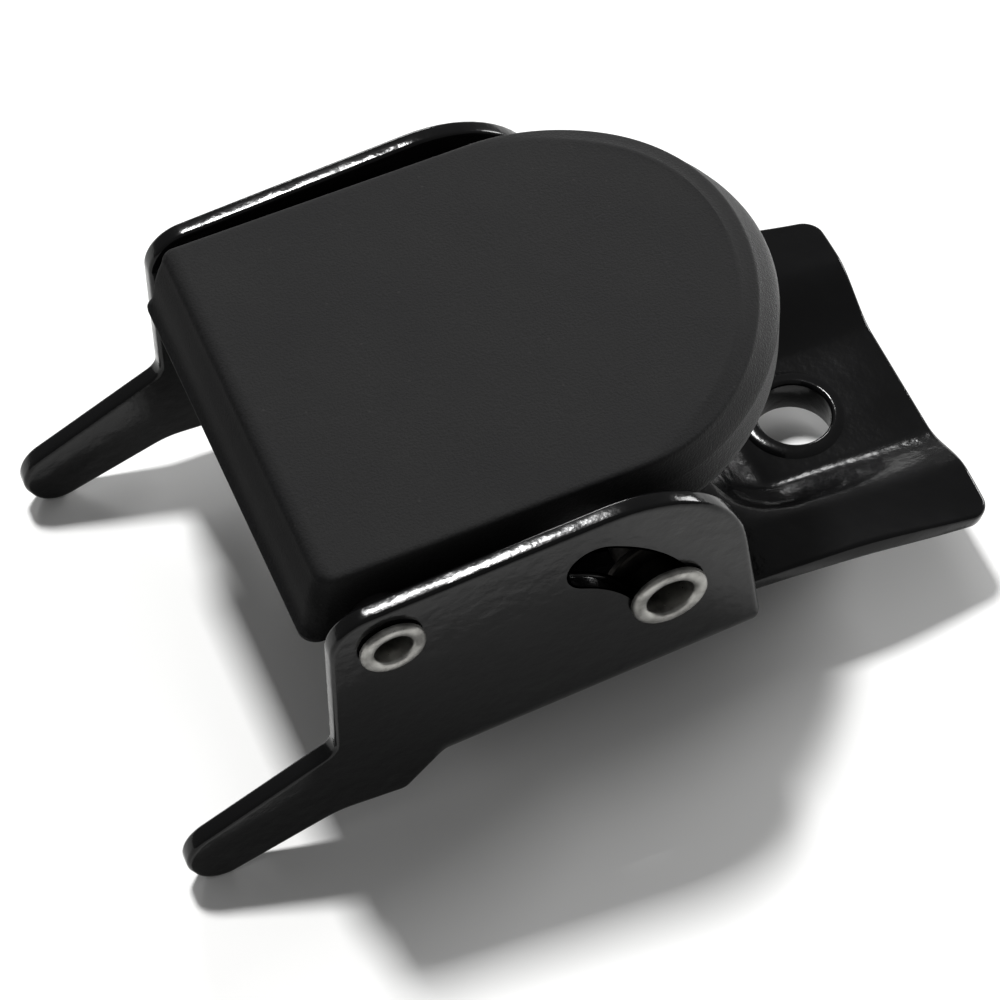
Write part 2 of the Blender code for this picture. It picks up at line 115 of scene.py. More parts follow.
def rounded(corners, step=5.0):
    """Closed outline through corners (a, b, radius), each corner turned into an arc."""
    outline = []
    for i, (a, b, radius) in enumerate(corners):
        here = Vector((a, b))
        back = (Vector(corners[i - 1][:2]) - here).normalized()
        ahead = (Vector(corners[(i + 1) % len(corners)][:2]) - here).normalized()
        half = back.angle(ahead) / 2
        centre = here + (back + ahead).normalized() * radius / math.sin(half)
        first = here + back * radius / math.tan(half) - centre
        turn = first.angle_signed(here + ahead * radius / math.tan(half) - centre)
        steps = max(3, round(abs(math.degrees(turn)) / step))
        start = math.atan2(first.y, first.x)
        for k in range(steps + 1):
            angle = start - turn * k / steps
            outline.append((centre.x + radius * math.cos(angle), centre.y + radius * math.sin(angle)))
    return outline


def inset(outline, distance):
    """The closed outline moved inwards by distance."""
    count = len(outline)
    pairs = [(outline[i - 1], outline[i]) for i in range(count)]
    area = sum(first[0] * second[1] - second[0] * first[1] for first, second in pairs)
    side = math.copysign(distance, area)
    moved = []
    for i, point in enumerate(outline):
        before = Vector(point) - Vector(outline[i - 1])
        after = Vector(outline[(i + 1) % count]) - Vector(point)
        along = (before.normalized() + after.normalized()).normalized()
        moved.append((point[0] - side * along.y, point[1] + side * along.x))
    return moved


def eased(stops, x):
    """Smooth value through (x, value) stops."""
    if x <= stops[0][0]:
        return stops[0][1]
    for (x0, v0), (x1, v1) in zip(stops, stops[1:]):
        if x <= x1:
            t = (x - x0) / (x1 - x0)
            return v0 + (v1 - v0) * t * t * (3 - 2 * t)
    return stops[-1][1]


def bend_z(x):
    """Height of the line where the bend turns into the cheek."""
    return BEND_Z + FLOOR_SLOPE * (x - CHEEK_END)


def tail_top(x, y):
    """Upper face of the tail: a flat dished seat, raised flanks and side edges that droop."""
    seat, ridge, edge = (eased(line, x) for line in (SEAT_LINE, RIDGE_LINE, EDGE_LINE))
    away = abs(y)
    droop = max(0.0, (away - DROOP_HALF) / (TAIL_HALF - DROOP_HALF))
    return eased(((SEAT_HALF, seat), (RIDGE_HALF, ridge)), away) + (edge - ridge) * droop ** 2.4


def fold(x, v, depth):
    """Where a point of the flat blank goes; depth runs from the outer face to the inner face."""
    away, side = abs(v), math.copysign(1.0, v)
    if x > CHEEK_END:
        across = (tail_top(x, v + 0.05) - tail_top(x, v - 0.05)) / 0.1
        along = (tail_top(x + 0.05, v) - tail_top(x - 0.05, v)) / 0.1
        down = Vector((along, across, -1.0)).normalized() * (SHEET - depth)
        return Vector((x, v, tail_top(x, v))) + down
    upright = Vector((x, side * (HALF_WIDTH - depth), bend_z(x) + away - FLOOR_HALF - BEND_LENGTH))
    if away > FLOOR_HALF + BEND_LENGTH or x < HORN_ROOT:
        return upright
    if away <= FLOOR_HALF:
        return Vector((x, v, bend_z(x) - BEND_RADIUS + depth))
    angle = (away - FLOOR_HALF) / BEND_RADIUS
    radius = BEND_RADIUS - depth
    across = side * (FLOOR_HALF + radius * math.sin(angle))
    bent = Vector((x, across, bend_z(x) - radius * math.cos(angle)))
    return upright.lerp(bent, eased(((HORN_ROOT, 0.0), (FLOOR_FRONT + 1.0, 1.0)), x))


def unfold(x, z, side):
    """Place on the flat blank of a cheek point x, z."""
    return (x, side * (FLOOR_HALF + BEND_LENGTH + z - bend_z(x)))


def edge_levels(thickness, radius, steps=4):
    """(height, inset) from one face to the other of a plate whose edges are rounded."""
    lower = []
    for k in range(steps + 1):
        angle = math.radians(90 - 90 * k / steps)
        lower.append((abs(radius) * (1 - math.sin(angle)), radius * (1 - math.cos(angle))))
    return lower + [(thickness - h, d) for h, d in lower[::-1]]


def add_rim(bm, outline, levels, margin):
    """Wall of a plate round one outline, with a flat margin inside it; returns the two end loops."""
    levels = [(levels[0][0], levels[0][1] + margin)] + levels + [(levels[-1][0], levels[-1][1] + margin)]
    loops = [[bm.verts.new((a, b, height)) for a, b in inset(outline, depth)]
             for height, depth in levels]
    for lower, upper in zip(loops, loops[1:]):
        for i in range(len(lower)):
            bm.faces.new((lower[i - 1], lower[i], upper[i], upper[i - 1]))
    return loops[0], loops[-1]


def fill_between(bm, loops):
    """Flat face inside the first loop and outside the others."""
    edges = [bm.edges.get((loop[i - 1], loop[i])) for loop in loops for i in range(len(loop))]
    bmesh.ops.triangle_fill(bm, use_beauty=True, edges=edges)


def cut_along(bm, axis, places, keep):
    """Cuts across one axis through the faces that keep() picks by their middle."""
    normal = Vector((0, 0, 0))
    normal[axis] = 1.0
    for place in places:
        faces = [f for f in bm.faces if keep(f.calc_center_median())]
        parts = set(faces)
        for face in faces:
            parts.update(face.edges)
            parts.update(face.verts)
        bmesh.ops.bisect_plane(bm, geom=list(parts), plane_co=normal * place, plane_no=normal, dist=1e-5)


def finished(name, bm, sharp=40.0):
    """The mesh as an object, smooth apart from its true corners."""
    bmesh.ops.triangulate(bm, faces=[f for f in bm.faces if len(f.verts) > 4])
    bmesh.ops.recalc_face_normals(bm, faces=bm.faces)
    mesh = bpy.data.meshes.new(name)
    bm.to_mesh(mesh)
    bm.free()
    mesh.shade_smooth()
    mesh.set_sharp_from_angle(angle=math.radians(sharp))
    piece = bpy.data.objects.new(name, mesh)
    bpy.context.scene.collection.objects.link(piece)
    return piece


def half_blank(side):
    """Corners of one half of the blank: tail edge, cheek, horn and the cut between the horns."""
    corners = [(CHEEK_END, side * TAIL_HALF, 1.0),
               (CHEEK_END, side * (FLOOR_HALF + BEND_LENGTH), 1.0),
               (*unfold(40.0, 10.4, side), 17.5),
               (*unfold(-6.9, 5.3, side), 4.5),
               (*unfold(-6.9, -17.7, side), 2.0),
               (*unfold(-26.6, -28.4, side), 4.2),
               (*unfold(-22.7, -36.0, side), 4.2),
               (*unfold(-7.0, -30.2, side), 8.0),
               (*unfold(1.2, -30.4, side), 1.5),
               (*unfold(FLOOR_FRONT + 0.7, -24.9, side), 0.8),
               (FLOOR_FRONT, side * (FLOOR_HALF - 8.0), 4.0)]
    return corners


blank = [(TAIL_END, -TAIL_HALF, 2.4), (TAIL_END, TAIL_HALF, 2.4)] + half_blank(1) + half_blank(-1)[::-1]
slot_path = arc(SLOT_CENTRE, SLOT_RADIUS, *SLOT_ANGLES, 24)
slot_end = arc(slot_path[-1], SLOT_HALF_WIDTH, SLOT_ANGLES[1], SLOT_ANGLES[1] + 180, 18)
slot_start = arc(slot_path[0], SLOT_HALF_WIDTH, SLOT_ANGLES[0] + 180, SLOT_ANGLES[0] + 360, 18)
slot_outer = arc(SLOT_CENTRE, SLOT_RADIUS + SLOT_HALF_WIDTH, *SLOT_ANGLES, 24)[1:-1]
slot_inner = arc(SLOT_CENTRE, SLOT_RADIUS - SLOT_HALF_WIDTH, *SLOT_ANGLES[::-1], 24)[1:-1]
slot = slot_outer + slot_end + slot_inner + slot_start
holes = [arc((BOLT_X, 0.0), BUSH_HOLE, 0, 355, 71)]
for side in (-1, 1):
    holes.append([unfold(x, z, side) for x, z in slot])
    holes.append([unfold(x, z, side) for x, z in arc((0.0, 0.0), HINGE_HOLE, 0, 354, 59)])

bm = bmesh.new()
ends = [add_rim(bm, rounded(blank), edge_levels(SHEET, EDGE_ROUND), 0.3)]
ends += [add_rim(bm, hole, edge_levels(SHEET, -HOLE_ROUND), -0.3) for hole in holes]
for end in (0, 1):
    fill_between(bm, [pair[end] for pair in ends])
cut_along(bm, 0, [HORN_ROOT + 0.5 * k for k in range(5)] + [CHEEK_END - 0.4, CHEEK_END], lambda c: True)
bend_cuts = [FLOOR_HALF + BEND_LENGTH * k / 12 for k in range(13)]
bend_cuts += [FLOOR_HALF - 0.4, FLOOR_HALF + BEND_LENGTH + 0.4]
cut_along(bm, 1, bend_cuts + [-v for v in bend_cuts], lambda c: HORN_ROOT < c.x < CHEEK_END)
tail_length = TAIL_END - CHEEK_END
cut_along(bm, 0, [CHEEK_END + tail_length * k / 45 for k in range(1, 45)], lambda c: c.x > CHEEK_END)
cut_along(bm, 1, [TAIL_HALF * k / 48 for k in range(-47, 48)], lambda c: c.x > CHEEK_END)
for vert in bm.verts:
    vert.co = at(fold(*vert.co))
bracket = finished("enamelled_bracket", bm)


def linear(hex_colour):
    """An sRGB hex colour as linear RGBA."""
    values = [int(hex_colour[i:i + 2], 16) / 255 for i in (1, 3, 5)]
    return (*[v / 12.92 if v <= 0.04045 else ((v + 0.055) / 1.055) ** 2.4 for v in values], 1.0)


def add(tree, kind, settings, links=()):
    """Adds a node; settings are attributes or input values, links are (input, source node, output)."""
    node = tree.nodes.new(kind)
    for key, value in settings.items():
        if isinstance(key, str) and hasattr(node, key):
            setattr(node, key, value)
        else:
            node.inputs[key].default_value = value
    for socket, source, output in links:
        tree.links.new(source.outputs[output], node.inputs[socket])
    return node


def new_material(name):
    """An empty node material; returns the material and its tree."""
    material = bpy.data.materials.new(name)
    material.use_nodes = True
    material.node_tree.nodes.clear()
    return material, material.node_tree


def per_mm(size):
    """Texture scale for features of this many millimetres, in object coordinates."""
    return 1000.0 / size


# Stoving enamel on steel: a thick glossy film that flows round every edge. It gives sharp, slightly
# wavy reflections, a faint orange peel about 2 mm across and a thin scatter of dust nibs.
def stoving_enamel():
    material, tree = new_material("black_stoving_enamel")
    place = add(tree, "ShaderNodeTexCoord", {})
    peel = add(tree, "ShaderNodeTexNoise", {"Scale": per_mm(2.2), "Detail": 2.0, "Roughness": 0.45},
               [("Vector", place, "Object")])
    nibs = add(tree, "ShaderNodeTexNoise", {"Scale": per_mm(0.35), "Detail": 1.0},
               [("Vector", place, "Object")])
    cloud = add(tree, "ShaderNodeTexNoise", {"Scale": per_mm(9.0), "Detail": 3.0},
                [("Vector", place, "Object")])
    height = add(tree, "ShaderNodeMath", {"operation": "MULTIPLY_ADD", 1: 0.12},
                 [(0, nibs, "Fac"), (2, peel, "Fac")])
    bump = add(tree, "ShaderNodeBump", {"Strength": 0.7, "Distance": 0.00012},
               [("Height", height, "Value")])
    sheen = add(tree, "ShaderNodeMapRange",
                {"From Min": 0.3, "From Max": 0.7, "To Min": 0.12, "To Max": 0.2},
                [("Value", cloud, "Fac")])
    tone = add(tree, "ShaderNodeValToRGB", {}, [("Fac", cloud, "Fac")])
    tone.color_ramp.elements[0].color = linear("#080808")
    tone.color_ramp.elements[1].color = linear("#0d0d0e")
    shader = add(tree, "ShaderNodeBsdfPrincipled", {"IOR": 1.38, "Specular IOR Level": 0.32},
                 [("Base Color", tone, "Color"), ("Roughness", sheen, "Result"),
                  ("Normal", bump, "Normal")])
    add(tree, "ShaderNodeOutputMaterial", {}, [("Surface", shader, "BSDF")])
    return material


enamel = stoving_enamel()
bracket.data.materials.append(enamel)
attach(bracket, "bracket")
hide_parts("bracket_frame")

# ---- Mounting bush -------------------------------------------------------------------------------
# A turned steel bush riveted into the dished seat, with a rolled lip above and a collar below. It is
# dipped with the frame, so it carries the same black enamel down to the lower end of its bore.
BOLT_RADIUS = 4.5
LIP_RADIUS = 6.6
NECK_RADIUS = 5.5
COLLAR_RADIUS = 8.2
BORE_FLARE = 0.6
BUSH_TOP = SEAT_TOP + 0.45
BUSH_BOTTOM = -33.5
UNDER_LIP = SEAT_TOP + 0.05
UNDER_SEAT = SEAT_TOP - SHEET - 0.3


def turned(name, profile, middle, axis="Y", segments=96):
    """Ring turned round an axis from a closed profile of (distance along the axis, radius)."""
    bm = bmesh.new()
    loops = []
    for k in range(segments):
        angle = 2 * math.pi * k / segments
        c, s = math.cos(angle), math.sin(angle)
        turn = (lambda a, r: (r * c, a, r * s)) if axis == "Y" else (lambda a, r: (r * c, r * s, a))
        loops.append([bm.verts.new(at(Vector(middle) + Vector(turn(a, r)))) for a, r in profile])
    for k in range(segments):
        for i in range(len(profile)):
            bm.faces.new((loops[k - 1][i - 1], loops[k - 1][i], loops[k][i], loops[k][i - 1]))
    return finished(name, bm)


bush_profile = arc((BUSH_TOP - BORE_FLARE, BOLT_RADIUS + BORE_FLARE), BORE_FLARE, 270, 360, 8)
for drop, inside in ((0.02, 1.1), (0.08, 0.7), (0.18, 0.35), (0.3, 0.1)):
    bush_profile.append((BUSH_TOP - drop, LIP_RADIUS - inside))
bush_profile += [(UNDER_LIP, LIP_RADIUS), (UNDER_LIP, NECK_RADIUS), (UNDER_SEAT, NECK_RADIUS)]
bush_profile += arc((UNDER_SEAT - 0.4, COLLAR_RADIUS - 0.4), 0.4, 0, 90, 4)
bush_profile += arc((BUSH_BOTTOM + 0.5, COLLAR_RADIUS - 0.5), 0.5, 90, 180, 4)
bush_profile += [(BUSH_BOTTOM, BOLT_RADIUS + BORE_FLARE), (BUSH_BOTTOM + 2.0, BOLT_RADIUS + 0.1)]
bush = turned("bolt_bush", bush_profile, (BOLT_X, 0.0, 0.0), "Z")
bush.data.materials.append(enamel)
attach(bush, "bracket")
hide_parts("mount_bush")

# ---- Hinge rivet ---------------------------------------------------------------------------------
# A steel tube through both cheeks, its ends flared and rolled down over the enamel with a punch. The
# zinc plate has dulled to grey, is scuffed by the tool and is brightest where the roll was pressed.
RIVET_BORE = 2.0
RIVET_RADIUS = 2.7
RIVET_HEAD_RADIUS = 3.8
RIVET_FACE = HALF_WIDTH + 0.3
RIVET_HEIGHT = 0.8


def rolled_rivet(bore, radius, head_radius):
    """Profile of a tube whose ends are curled outwards into flat topped heads."""
    middle = (bore + head_radius) / 2 + 0.1
    half_width = head_radius - middle
    curl = []
    for k in range(13):
        angle = math.radians(180 * k / 12)
        across = math.copysign(abs(math.cos(angle)) ** 0.75, math.cos(angle))
        curl.append((RIVET_FACE + RIVET_HEIGHT * math.sin(angle) ** 0.6, middle + half_width * across))
    flare = [(RIVET_FACE - 0.35, bore + 0.08), (RIVET_FACE - 1.4, bore)]
    half = [(RIVET_FACE, radius)] + curl + flare
    return half + [(-a, r) for a, r in half[::-1]]


# Dulled zinc plate: a metal coat a few microns thick over tooled steel. It gives a broad grey sheen
# with fine scuffs, and darker blots where the plate has worn or holds grime.
def dulled_zinc(name, light, dark, rough):
    material, tree = new_material(name)
    place = add(tree, "ShaderNodeTexCoord", {})
    scuffs = add(tree, "ShaderNodeTexNoise", {"Scale": per_mm(0.5), "Detail": 4.0, "Roughness": 0.6},
                 [("Vector", place, "Object")])
    stains = add(tree, "ShaderNodeTexNoise", {"Scale": per_mm(2.2), "Detail": 3.0},
                 [("Vector", place, "Object")])
    tone = add(tree, "ShaderNodeValToRGB", {}, [("Fac", stains, "Fac")])
    tone.color_ramp.elements[0].position = 0.32
    tone.color_ramp.elements[0].color = linear(dark)
    tone.color_ramp.elements[1].position = 0.6
    tone.color_ramp.elements[1].color = linear(light)
    polish = add(tree, "ShaderNodeMapRange",
                 {"From Min": 0.3, "From Max": 0.7, "To Min": rough - 0.08, "To Max": rough + 0.12},
                 [("Value", scuffs, "Fac")])
    bump = add(tree, "ShaderNodeBump", {"Strength": 0.5, "Distance": 0.00004},
               [("Height", scuffs, "Fac")])
    shader = add(tree, "ShaderNodeBsdfPrincipled", {"Metallic": 1.0},
                 [("Base Color", tone, "Color"), ("Roughness", polish, "Result"),
                  ("Normal", bump, "Normal")])
    add(tree, "ShaderNodeOutputMaterial", {}, [("Surface", shader, "BSDF")])
    return material


rivet_zinc = dulled_zinc("dulled_zinc_plate", "#a5a4a0", "#6f6e6b", 0.34)
rivet_profile = rolled_rivet(RIVET_BORE, RIVET_RADIUS, RIVET_HEAD_RADIUS)
rivet = turned("hinge_tube_rivet", rivet_profile, (0.0, 0.0, 0.0))
rivet.data.materials.append(rivet_zinc)
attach(rivet, "bracket")
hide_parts("hinge_rivet")

# ---- Hinge spacers and bushings ------------------------------------------------------------------
# Black nylon tubes moulded to length: spacers hold the carrier in the middle of the rivet, and
# flanged bushings are pressed into its lugs to run on the rivet.
RUNNING_BORE = RIVET_RADIUS + 0.08
SPACER_RADIUS = 3.3
BUSHING_RADIUS = 3.8
FLANGE_RADIUS = 4.5
FLANGE_THICK = 0.8
LUG_OUTER = 20.0
LUG_THICK = 1.8
SIDE_PLAY = 0.3
CHEEK_INNER = HALF_WIDTH - SHEET


def chamfered(low_end, high_end, bore, radius, bevel=0.2):
    """Profile of a plain ring whose outer corners are broken."""
    return [(low_end, bore), (low_end, radius - bevel), (low_end + bevel, radius),
            (high_end - bevel, radius), (high_end, radius - bevel), (high_end, bore)]


# Moulded nylon: semi crystalline, slightly waxy and fairly matt, with the faint sparkle of a spark
# eroded mould.
def moulded_nylon():
    material, tree = new_material("moulded_black_nylon")
    place = add(tree, "ShaderNodeTexCoord", {})
    grain = add(tree, "ShaderNodeTexNoise", {"Scale": per_mm(0.3), "Detail": 2.0},
                [("Vector", place, "Object")])
    bump = add(tree, "ShaderNodeBump", {"Strength": 0.4, "Distance": 0.00003},
               [("Height", grain, "Fac")])
    wax = add(tree, "ShaderNodeMapRange", {"To Min": 0.42, "To Max": 0.56}, [("Value", grain, "Fac")])
    tone = add(tree, "ShaderNodeValToRGB", {}, [("Fac", grain, "Fac")])
    tone.color_ramp.elements[0].color = linear("#1a1a1b")
    tone.color_ramp.elements[1].color = linear("#232324")
    shader = add(tree, "ShaderNodeBsdfPrincipled", {"IOR": 1.53},
                 [("Base Color", tone, "Color"), ("Roughness", wax, "Result"),
                  ("Normal", bump, "Normal")])
    add(tree, "ShaderNodeOutputMaterial", {}, [("Surface", shader, "BSDF")])
    return material


nylon = moulded_nylon()
lug_inner = LUG_OUTER - LUG_THICK
flange = LUG_OUTER + SIDE_PLAY
flange_end = flange + FLANGE_THICK
for side, word in ((-1, "near"), (1, "far")):
    ring = chamfered(flange_end + SIDE_PLAY, CHEEK_INNER - SIDE_PLAY, RUNNING_BORE, SPACER_RADIUS)
    spacer = turned(f"spacer_{word}", [(side * a, r) for a, r in ring], (0.0, 0.0, 0.0))
    ring = [(lug_inner, RUNNING_BORE), (lug_inner, BUSHING_RADIUS - 0.2),
            (lug_inner + 0.2, BUSHING_RADIUS), (flange, BUSHING_RADIUS), (flange, FLANGE_RADIUS - 0.1),
            (flange + 0.1, FLANGE_RADIUS), (flange_end - 0.1, FLANGE_RADIUS),
            (flange_end, FLANGE_RADIUS - 0.1), (flange_end, RUNNING_BORE)]
    bushing = turned(f"bushing_{word}", [(side * a, r) for a, r in ring], (0.0, 0.0, 0.0))
    for piece, body, node in ((spacer, "bracket", "hinge_spacer_"),
                              (bushing, "pad_lever", "hinge_bushing_")):
        piece.data.materials.append(nylon)
        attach(piece, body)
        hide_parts(node + word)

# ---- Closing spring ------------------------------------------------------------------------------
# Drawn spring wire wound on a mandrel: six open turns round the hinge rivet, one leg under the front
# edge of the floor and the other over the guide bar. It is left bare and oiled.
WIRE_RADIUS = 0.45
COIL_RADIUS = 3.35
COIL_HALF = 9.0
COIL_TURNS = 6
COIL_START = 200.0
COIL_END = 78.0
SLEEVE_RADIUS = 5.0
BAR_CENTRE = arc(SLOT_CENTRE, SLOT_RADIUS, SLOT_ANGLES[0], 90, 1)[0]
FOOT_Z = bend_z(FLOOR_FRONT) - BEND_RADIUS - 0.6


def coil_path():
    """Foot at the floor's front edge, the coil, then the leg over the bar; every kink is eased."""
    points = [Vector((FLOOR_FRONT - 0.9, -COIL_HALF, FOOT_Z))]
    steps = COIL_TURNS * 36
    for k in range(steps + 1):
        angle = math.radians(COIL_START - (360 * COIL_TURNS + COIL_START - COIL_END) * k / steps)
        across = -COIL_HALF + 2 * COIL_HALF * k / steps
        points.append(Vector((COIL_RADIUS * math.cos(angle), across, COIL_RADIUS * math.sin(angle))))
    outwards = Vector((BAR_CENTRE[0], 0.0, BAR_CENTRE[1])).normalized()
    lift = Vector((-outwards.z, 0.0, outwards.x)) * (SLEEVE_RADIUS + WIRE_RADIUS + 0.3)
    for reach in (14.0, 38.0):
        points.append(outwards * reach + lift + Vector((0.0, COIL_HALF, 0.0)))
    softened = [points[0]]
    for first, second in zip(points, points[1:]):
        reach = min(0.3, (second - first).length / 4)
        along = (second - first).normalized() * reach
        softened += [first + along, second - along]
    return softened + [points[-1]]


def swept(name, path, radius, sides=16):
    """Round wire along a path, its ends cut square and broken."""
    bm = bmesh.new()
    loops = []
    side = Vector((0.0, 1.0, 0.0))
    for i, point in enumerate(path):
        along = (path[min(i + 1, len(path) - 1)] - path[max(i - 1, 0)]).normalized()
        side = (side - along * side.dot(along)).normalized()
        other = along.cross(side)
        loop = []
        for k in range(sides):
            angle = 2 * math.pi * k / sides
            reach = radius * (0.8 if i in (0, len(path) - 1) else 1.0)
            outwards = side * math.cos(angle) + other * math.sin(angle)
            loop.append(bm.verts.new(at(point + outwards * reach)))
        loops.append(loop)
    for first, second in zip(loops, loops[1:]):
        for k in range(sides):
            bm.faces.new((first[k - 1], first[k], second[k], second[k - 1]))
    bm.faces.new(loops[0])
    bm.faces.new(loops[-1])
    return finished(name, bm)


# Oiled spring wire: dark drawn steel with fine marks along the wire and a wet film of oil over it.
def oiled_wire():
    material, tree = new_material("oiled_spring_wire")
    place = add(tree, "ShaderNodeTexCoord", {})
    marks = add(tree, "ShaderNodeTexNoise", {"Scale": per_mm(0.25), "Detail": 3.0},
                [("Vector", place, "Object")])
    bump = add(tree, "ShaderNodeBump", {"Strength": 0.3, "Distance": 0.00002},
               [("Height", marks, "Fac")])
    polish = add(tree, "ShaderNodeMapRange", {"To Min": 0.22, "To Max": 0.42},
                 [("Value", marks, "Fac")])
    shader = add(tree, "ShaderNodeBsdfPrincipled",
                 {"Metallic": 1.0, "Base Color": linear("#6d6a66"), "Coat Weight": 0.3,
                  "Coat Roughness": 0.1},
                 [("Roughness", polish, "Result"), ("Normal", bump, "Normal")])
    add(tree, "ShaderNodeOutputMaterial", {}, [("Surface", shader, "BSDF")])
    return material


spring = swept("closing_spring_wire", coil_path(), WIRE_RADIUS)
spring.data.materials.append(oiled_wire())
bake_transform(spring)
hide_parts("closing_spring")

# ---- Guide bar with washers and sleeve -----------------------------------------------------------
# A second steel tube, larger than the hinge rivet, runs along the curved slots and is rolled over in
# the same way. Turned zinc plated washers and a sleeve keep it square inside the bracket.
BAR_BORE = 2.6
BAR_RADIUS = 3.6
BAR_HEAD_RADIUS = 4.55
WASHER_RADIUS = 6.2
WASHER_THICK = 1.0
bar_middle = (BAR_CENTRE[0], 0.0, BAR_CENTRE[1])
bar = turned("guide_bar_tube", rolled_rivet(BAR_BORE, BAR_RADIUS, BAR_HEAD_RADIUS), bar_middle)
bar.data.materials.append(rivet_zinc)
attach(bar, "guide")
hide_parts("guide_bar")

# Inside the bracket the zinc gets a darker copy, painted shade: a dark metal that hardly shines.
zinc_in_painted_shade = dulled_zinc("zinc_steel_in_painted_shade", "#2c2a28", "#181716", 0.5)
bar.data.materials.append(zinc_in_painted_shade)
# Faces of the bar tube between the cheeks take the dark copy: painted shade inside the bracket.
for face in bar.data.polygons:
    along, across = face.center.y - hinge.y, face.center - at(bar_middle)
    outside = math.hypot(across.x, across.z) > 0.001 * (BAR_BORE + 0.5)
    if outside and abs(along) < 0.001 * HALF_WIDTH:
        face.material_index = 1
bar_fit = BAR_RADIUS + 0.08
for side, word in ((-1, "near"), (1, "far")):
    washer_end = CHEEK_INNER - SIDE_PLAY
    ring = chamfered(washer_end - WASHER_THICK, washer_end, bar_fit, WASHER_RADIUS)
    washer = turned(f"washer_{word}", [(side * a, r) for a, r in ring], bar_middle)
    washer.data.materials.append(zinc_in_painted_shade)
    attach(washer, "guide")
    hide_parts(f"bar_washer_{word}")
sleeve_half = lug_inner - SIDE_PLAY
sleeve_profile = chamfered(-sleeve_half, sleeve_half, bar_fit, SLEEVE_RADIUS, 0.3)
sleeve = turned("bar_sleeve_tube", sleeve_profile, bar_middle)
sleeve.data.materials.append(zinc_in_painted_shade)
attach(sleeve, "guide")
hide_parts("bar_sleeve")

# ---- Pad carrier ---------------------------------------------------------------------------------
# A pressed steel plate with two lugs folded down, moulded into the pad's underside. It is electro
# coated in satin black, thinner and duller than the enamel of the bracket.
def satin_coat():
    material, tree = new_material("satin_black_electrocoat")
    place = add(tree, "ShaderNodeTexCoord", {})
    grain = add(tree, "ShaderNodeTexNoise", {"Scale": per_mm(0.6), "Detail": 3.0},
                [("Vector", place, "Object")])
    bump = add(tree, "ShaderNodeBump", {"Strength": 0.3, "Distance": 0.00003},
               [("Height", grain, "Fac")])
    sheen = add(tree, "ShaderNodeMapRange", {"To Min": 0.34, "To Max": 0.5}, [("Value", grain, "Fac")])
    shader = add(tree, "ShaderNodeBsdfPrincipled", {"Base Color": linear("#151516"), "IOR": 1.45},
                 [("Roughness", sheen, "Result"), ("Normal", bump, "Normal")])
    add(tree, "ShaderNodeOutputMaterial", {}, [("Surface", shader, "BSDF")])
    return material


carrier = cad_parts["pad_carrier"]
carrier.data.materials.clear()
carrier.data.materials.append(satin_coat())

# ---- Rubber pad ----------------------------------------------------------------------------------
# Black rubber moulded over the carrier: a flat topped, D shaped pad with a rolled rim, a nose wall
# that bulges at mid height and a lip along its lower end. The two mould halves met at the bulge.
PAD_TILT = 2.6
PAD_LEFT = -5.6
PAD_HALF = 24.6
PAD_NOSE_X = 31.7
PAD_NOSE_LENGTH = 23.3
NOSE_BIAS = 0.12
NOSE_STEPS = 144
PAD_TOP = 8.1
PAD_BOTTOM = -1.4
PAD_CORNERS = (2.2, 1.3)
DRAFT_LEFT = 2.8
DRAFT_SIDE = 0.8
DRAFT_NOSE = 2.9
CAVITY_WALL = 2.6
CAVITY_TOP = 5.9
NOTCH_RADIUS = SPACER_RADIUS + 0.3
RIM_BEAD = 0.15


def pad_ring(end, side, nose, straight, curved, left=None, corners=PAD_CORNERS, bead=0.0):
    """D shaped ring. end, side and nose are draft; straight and curved give the height and inset
    along the straight sides and round the nose; bead lifts the nose's middle."""
    z, depth = straight
    edge = PAD_LEFT - end + depth if left is None else left
    half = PAD_HALF + side - depth
    near, far = corners
    ring = [(x, y, z) for x, y in arc((edge + near, -half + near), near, 180, 270, 12)]
    for k in range(NOSE_STEPS + 1):
        angle = math.radians(-90 + 180 * k / NOSE_STEPS)
        share = eased(((0.0, 0.0), (0.6, 1.0)), math.cos(angle))
        here_z, here_depth = (u + (v - u) * share for u, v in zip(straight, curved))
        fuller = 1 + NOSE_BIAS * math.sin(angle)
        reach = (PAD_NOSE_LENGTH + nose - here_depth) * fuller * math.cos(angle)
        here_z += bead * math.cos(angle) * (0.5 + 0.5 * math.sin(angle + 0.6))
        ring.append((PAD_NOSE_X + reach, (PAD_HALF + side - here_depth) * math.sin(angle), here_z))
    return ring + [(x, y, z) for x, y in arc((edge + far, half - far), far, 90, 180, 12)]


def tilted(point):
    """A point of the level pad turned nose up about the hinge."""
    angle = math.radians(PAD_TILT)
    x, y, z = point
    return (x * math.cos(angle) - z * math.sin(angle), y, x * math.sin(angle) + z * math.cos(angle))


def stacked(name, rings):
    """Closed solid through rings of equal count."""
    bm = bmesh.new()
    loops = [[bm.verts.new(at(tilted(point))) for point in ring] for ring in rings]
    for lower, upper in zip(loops, loops[1:]):
        for i in range(len(lower)):
            bm.faces.new((lower[i - 1], lower[i], upper[i], upper[i - 1]))
    bm.faces.new(loops[0])
    bm.faces.new(loops[-1])
    return finished(name, bm, 32.0)


# Each wall level: share of the end's, side's and nose's draft, then height and inset all round.
wall_levels = (
    (0.93, 1.0, 0.93, PAD_BOTTOM, 0.25), (1.0, 1.0, 0.95, PAD_BOTTOM + 0.25, 0),
    (1.0, 1.0, 0.96, -0.65, 0), (0.9, 0.98, 0.965, -0.35, 0), (0.78, 0.92, 0.97, 0.0, 0),
    (0.66, 0.75, 0.985, 1.6, 0), (0.55, 0.6, 0.995, 3.2, 0), (0.54, 0.6, 1.0, 3.35, 0),
    (0.53, 0.6, 0.985, 3.5, 0), (0.46, 0.5, 0.86, 4.2, 0), (0.35, 0.37, 0.62, 5.2, 0),
    (0.22, 0.22, 0.33, 6.2, 0), (0.14, 0.14, 0.17, 6.8, 0),
)
